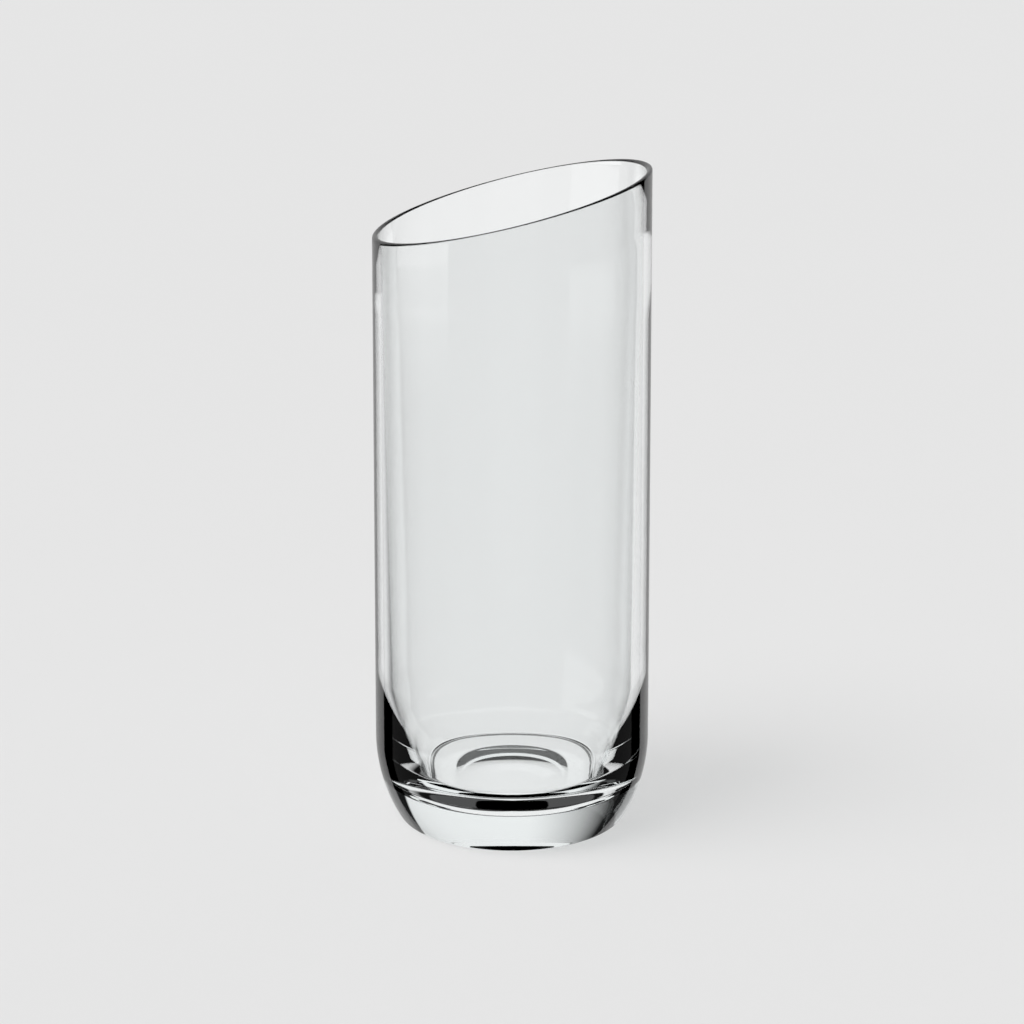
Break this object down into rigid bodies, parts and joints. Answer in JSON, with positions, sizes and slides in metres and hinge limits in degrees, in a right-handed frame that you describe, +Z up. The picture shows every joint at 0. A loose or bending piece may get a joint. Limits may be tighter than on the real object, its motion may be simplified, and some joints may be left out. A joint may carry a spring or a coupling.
{
  "type": "highball glass",
  "caption": "Clear straight-sided highball tumbler with a heavy punted base and a lip cut in a slanted plane, standing on a flat ring.",
  "frame": {"origin": "on the glass's axis, in the table plane that the foot stands on", "axes": "+Z up along the glass's axis, +X towards the high side of the slanted lip, +Y to complete a right-handed frame"},
  "size_m": [0.066, 0.066, 0.164],
  "materials": {
    "lip_glass": "fire-polished clear glass",
    "wall_glass": "smooth clear glass",
    "heel_glass": "smooth clear glass",
    "base_glass": "thick clear glass"
  },
  "bodies": {
    "root": {"lip": "lip_glass", "wall": "wall_glass", "heel": "heel_glass", "base": "base_glass"}
  },
  "joints": []
}
